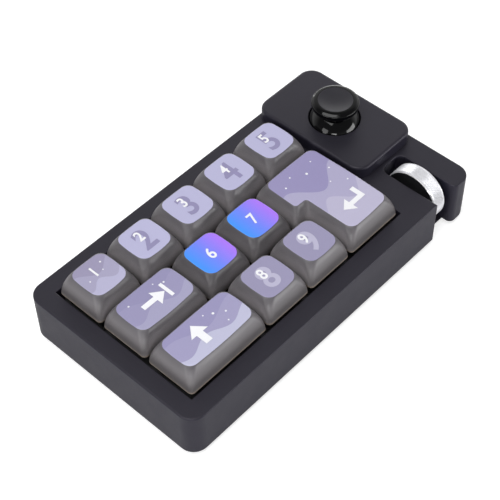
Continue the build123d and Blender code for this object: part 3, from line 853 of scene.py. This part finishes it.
def rim_profile(radius, half):
    """Across the wheel's rim as (x, radius, row of the knurl or none), from flank to flank."""
    lip = half - wheel_edge - wheel_lip
    knurl_half = lip - knurl_depth
    flank = [
        (half, radius - rim_wall), (half, radius - wheel_edge),
        (half - wheel_edge, radius), (lip, radius),
    ]
    rows = [knurl_half * (2 * i / knurl_rows - 1) for i in range(knurl_rows + 1)]
    profile = [(-x, r, None) for x, r in flank]
    profile += [(x, radius - knurl_depth, row) for row, x in enumerate(rows)]
    return profile + [(x, r, None) for x, r in reversed(flank)]


def knurled_rim():
    """The wheel's bright rim: a fine crossed knurl between two plain lips, and dark flanks."""
    low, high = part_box("wheel_rim")
    centre = (low + high) / 2
    around = len(knurl_crest_shares) * knurl_count
    shape = bmesh.new()
    loops = []
    for x, ring_radius, row in rim_profile((high.z - low.z) / 2, (high.x - low.x) / 2):
        loop = []
        for i in range(around):
            angle = 2 * pi * i / around
            crossing = () if row is None else (i + row, i - row)
            crests = [knurl_crest_shares[k % len(knurl_crest_shares)] for k in crossing]
            r = ring_radius + knurl_depth * max(crests, default=0.0)
            place = (centre.x + x, centre.y + r * cos(angle), centre.z + r * sin(angle))
            loop.append(shape.verts.new(place))
        loops.append(loop)
    for step, (first, second) in enumerate(zip(loops, loops[1:] + loops[:1])):
        on_flank = step == 0 or step > len(loops) - 3
        for face in band_of_faces(shape, first, second):
            face.material_index = 1 if on_flank else 0
    bmesh.ops.recalc_face_normals(shape, faces=shape.faces)
    piece = from_bmesh("knurled_rim", shape, smooth=False)
    chrome = metal("wheel_chrome", chrome_tone, chrome_roughness, chrome_grain, chrome_metallic)
    piece.data.materials.append(chrome)
    piece.data.materials.append(plastic("rim_flank", flank_tone, flank_roughness))
    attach(piece, "wheel")
    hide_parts("wheel_rim")


def arc(centre, radii, start, end, steps):
    """Points of part of an ellipse in a (radius, height) profile, with angles from the axis."""
    angles = [start + (end - start) * i / steps for i in range(steps + 1)]
    return [(centre[0] + radii[0] * sin(a), centre[1] + radii[1] * cos(a)) for a in angles]


def stick_cap():
    """The thumbstick's head, neck and ball-shaped skirt, turned smoothly."""
    inner = skirt_radius - skirt_wall
    neck_angle = asin(neck_radius / skirt_radius)
    edge_centre = (head_radius - head_edge_width, head_edge_height)
    crown_centre = (dish_radius, head_edge_height)
    crown_radii = (head_radius - dish_radius, head_top - head_edge_height)
    profile = arc((0, 0), (inner, inner), 0, skirt_edge, skirt_inner_steps)
    profile += arc((0, 0), (skirt_radius, skirt_radius), skirt_edge, neck_angle, skirt_outer_steps)
    neck_radii = (head_radius - neck_radius, neck_flare)
    profile += arc((neck_radius, neck_top), neck_radii, pi, pi / 2, neck_steps)
    edge_radii = (head_edge_width, head_edge_rise)
    profile += arc(edge_centre, edge_radii, pi / 2, head_edge_end, head_edge_steps)
    profile += arc(crown_centre, crown_radii, crown_start, 0, crown_steps)[1:]
    bowl = [dish_radius * (1 - i / dish_steps) for i in range(1, dish_steps + 1)]
    profile += [(r, head_top - dish_depth * (1 - (r / dish_radius) ** 2)) for r in bowl]
    piece = lathe("stick_cap", profile, stick_pivot, stick_steps, gloss_black())
    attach(piece, "stick")
    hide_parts("joystick_cap")


def coil(node, turns, wire, share):
    """A round-wire spring in the room that its solid keeps for it, filling a share of its width."""
    low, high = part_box(node)
    foot = Vector(((low.x + high.x) / 2, (low.y + high.y) / 2, low.z + wire))
    radius = share * (high.x - low.x) / 2 - wire
    rise = high.z - low.z - coil_end_wires * wire
    up = Vector((0, 0, 1))
    sides = [2 * pi * i / wire_sides for i in range(wire_sides)]
    shape = bmesh.new()
    rings = []
    for i in range(coil_steps * turns + 1):
        angle = 2 * pi * i / coil_steps
        outward = Vector((cos(angle), sin(angle), 0))
        middle = foot + radius * outward + rise * i / (coil_steps * turns) * up
        rings.append([shape.verts.new(middle + wire * (cos(a) * outward + sin(a) * up)) for a in sides])
    for first, second in zip(rings, rings[1:]):
        band_of_faces(shape, first, second)
    shape.faces.new(rings[0])
    shape.faces.new(rings[-1])
    bmesh.ops.recalc_face_normals(shape, faces=shape.faces)
    piece = from_bmesh(node.replace("spring", "coil"), shape)
    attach(piece, "case")
    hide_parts(node)
    return piece


def springs():
    """A coil in each switch, and one under the thumbstick."""
    material = metal("spring_wire", spring_tone, spring_roughness, small_metal_grain)
    for name in key_names:
        piece = coil("spring_" + name, switch_coil_turns, switch_coil_wire, eight_sided_share)
        piece.data.materials.append(material)
        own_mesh(piece)
    coil("joystick_spring", stick_coil_turns, stick_coil_wire, 1.0).data.materials.append(material)


def screw(name, x, y, top, material):
    """A low round head that faces down from a level, with a cross recess."""
    arm, half = screw_cross_arm, screw_cross_half
    cross = [
        (arm, -half), (arm, half), (half, half), (half, arm), (-half, arm), (-half, half),
        (-arm, half), (-arm, -half), (-half, -half), (-half, -arm), (half, -arm), (half, -half),
    ]
    angles = [2 * pi * i / screw_steps for i in range(screw_steps)]
    wide = [(screw_radius * cos(a), screw_radius * sin(a)) for a in angles]
    face_radius = screw_face_share * screw_radius
    narrow = [(face_radius * cos(a), face_radius * sin(a)) for a in angles]
    face_z = top - screw_height
    shape = bmesh.new()
    levels = ((wide, top), (narrow, face_z), (cross, face_z), (cross, top - screw_recess_floor))
    rings = [[shape.verts.new((a, b, z)) for a, b in outline] for outline, z in levels]
    rim, edge, mouth, floor = rings
    band_of_faces(shape, rim, edge)
    band_of_faces(shape, mouth, floor)
    shape.faces.new(floor)
    borders = [shape.edges.get((ring[i - 1], ring[i])) for ring in (edge, mouth) for i in range(len(ring))]
    bmesh.ops.triangle_fill(shape, edges=borders, use_beauty=True)
    for vertex in shape.verts:
        vertex.co += Vector((x, y, 0))
    bmesh.ops.recalc_face_normals(shape, faces=shape.faces)
    piece = from_bmesh(name, shape, smooth=False)
    piece.data.materials.append(material)
    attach(piece, "case")


def screws():
    """Small screws under the bottom cover, clear of the desk."""
    material = metal("screw_black", screw_tone, screw_roughness, small_metal_grain)
    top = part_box("bottom_cover")[0].z
    for number, (x, y) in enumerate(screw_places):
        screw("screw_%d" % (number + 1), x * mm, y * mm, top, material)


def dress_nodes():
    """Materials for the solids that show as they are, by their slot."""
    finishes = {"case_black": case_plastic()}
    for slot, (colour, *roughness) in plastics.items():
        finishes[slot] = plastic(slot, colour, roughness)
    for slot, (colour, *roughness) in metals.items():
        finishes[slot] = metal(slot, colour, roughness, solid_metal_grain)
    for part in frame["record"]["subparts"]:
        finish = finishes.get(part["material_slot"])
        if finish:
            mesh = nodes[part["node"]].data
            mesh.materials.clear()
            mesh.materials.append(finish)


# Stage


def seen_directly(material):
    """Two factors: one where the camera looks at a surface, and one where a mirror or glass does."""
    path = add_node(material, "ShaderNodeLightPath")
    mirrored = calc(material, "MAXIMUM", path.outputs["Is Glossy Ray"], path.outputs["Is Transmission Ray"])
    return path.outputs["Is Camera Ray"], mirrored


def make_floor():
    """A pale floor that keeps a faint shadow."""
    shape = bmesh.new()
    bmesh.ops.create_grid(shape, x_segments=floor_cells, y_segments=floor_cells, size=floor_half)
    floor = from_bmesh("floor", shape)
    material = make_material("floor_white", floor_tone, floor_roughness, specular_ior_level=0.0)
    shader_input(material, "Emission Color").default_value = (1, 1, 1, 1)
    camera, mirrored = seen_directly(material)
    to_eye = calc(material, "MULTIPLY", camera, floor_glow)
    to_mirror = calc(material, "MULTIPLY", mirrored, floor_mirror_glow)
    glow = calc(material, "MAXIMUM", to_eye, to_mirror)
    link(material, glow, shader_input(material, "Emission Strength"))
    floor.data.materials.append(material)


def make_world():
    """White to the eye, a white wall under a dim ceiling in a mirror, and a plain soft light otherwise."""
    world = bpy.data.worlds.new("studio")
    bpy.context.scene.world = world
    world.use_nodes = True
    background = world.node_tree.nodes["Background"]
    background.inputs["Color"].default_value = (1, 1, 1, 1)
    camera, mirrored = seen_directly(world)
    direction = parts_of(world, add_node(world, "ShaderNodeTexCoord").outputs["Generated"])
    across = calc(world, "ADD", direction["X"], direction["Y"])
    behind = calc(world, "MULTIPLY", across, diagonal_share)
    lean = calc(world, "SUBTRACT", calc(world, "MAXIMUM", behind, mirrored_front_lean), direction["Z"])
    wall = spread(world, lean, mirrored_wall_band, (ceiling_mirrored, 1.0))
    seen = calc(world, "MAXIMUM", camera, calc(world, "MULTIPLY", mirrored, wall))
    plain = calc(world, "SUBTRACT", 1.0, calc(world, "MAXIMUM", camera, mirrored))
    strength = calc(world, "ADD", seen, calc(world, "MULTIPLY", plain, world_light))
    link(world, strength, background.inputs["Strength"])


def light_scene():
    """Oblong lamps that all face the keypad."""
    for name, (place, (width, height), power) in lamps.items():
        lamp = bpy.data.lights.new(name, "AREA")
        lamp.shape = "RECTANGLE"
        lamp.size = width
        lamp.size_y = height
        lamp.energy = power
        carrier = new_object(name, lamp)
        carrier.location = place
        carrier.rotation_euler = (Vector(lamp_aim) - Vector(place)).to_track_quat("-Z", "Y").to_euler()


def make_camera():
    """The camera of the photograph."""
    camera = new_object("camera", bpy.data.cameras.new("camera"))
    az, el = camera_azimuth, camera_elevation
    back = Vector((sin(az) * cos(el), -cos(az) * cos(el), sin(el)))
    right = Vector((cos(az), sin(az), 0))
    up = back.cross(right)
    c, s = cos(camera_roll), sin(camera_roll)
    right, up = c * right + s * up, c * up - s * right
    turn = Matrix((right, up, back)).transposed().to_4x4()
    camera.matrix_world = Matrix.Translation(camera_target + camera_distance * back) @ turn
    camera.data.sensor_width = sensor_width
    camera.data.lens = focal_pixels * sensor_width / image_size
    bpy.context.scene.camera = camera


dress_nodes()
dress_caps()
print_keys()
knurled_rim()
stick_cap()
springs()
screws()
make_floor()
make_world()
light_scene()
make_camera()
bpy.context.scene.view_settings.view_transform = "Standard"
